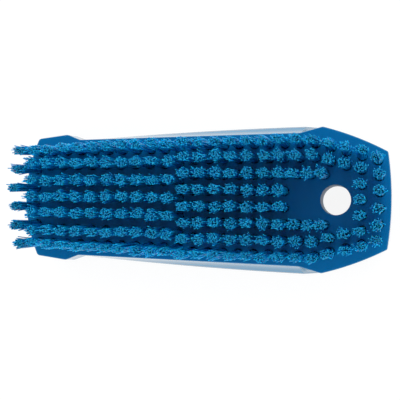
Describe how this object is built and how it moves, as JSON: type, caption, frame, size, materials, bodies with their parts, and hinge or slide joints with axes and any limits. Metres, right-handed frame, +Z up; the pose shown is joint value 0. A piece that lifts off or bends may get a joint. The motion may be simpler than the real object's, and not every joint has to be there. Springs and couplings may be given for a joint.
{
  "type": "hand brush",
  "caption": "Hand scrubbing brush: a moulded plastic grip block with finger recesses and a hanging hole, set with rows of stapled bristle tufts.",
  "frame": {"origin": "centre of the length and width, at the flat back that the brush lies on with its bristles up", "axes": "+X along the block towards the heel with the hanging hole, +Z up out of the bristles, +Y across the block"},
  "size_m": [0.163, 0.065, 0.047],
  "materials": {
    "block": "glossy moulded blue",
    "bristles": "crimped polyester filaments, cut level",
    "staples": "drawn flat wire"
  },
  "bodies": {
    "root": {"block": "block", "toe_row": "bristles", "front_row_1": "bristles", "front_row_2": "bristles", "front_row_3": "bristles", "front_row_4": "bristles", "front_row_5": "bristles", "front_row_6": "bristles", "front_row_7": "bristles", "rear_row_1": "bristles", "rear_row_2": "bristles", "rear_row_3": "bristles", "rear_row_4": "bristles", "rear_row_5": "bristles", "rear_row_6": "bristles", "rear_row_7": "bristles", "rear_row_8": "bristles", "heel_inner_row": "bristles", "heel_outer_row": "bristles", "staples_toe_row": "staples", "staples_front_row_1": "staples", "staples_front_row_2": "staples", "staples_front_row_3": "staples", "staples_front_row_4": "staples", "staples_front_row_5": "staples", "staples_front_row_6": "staples", "staples_front_row_7": "staples", "staples_rear_row_1": "staples", "staples_rear_row_2": "staples", "staples_rear_row_3": "staples", "staples_rear_row_4": "staples", "staples_rear_row_5": "staples", "staples_rear_row_6": "staples", "staples_rear_row_7": "staples", "staples_rear_row_8": "staples", "staples_heel_inner_row": "staples", "staples_heel_outer_row": "staples"}
  },
  "joints": []
}
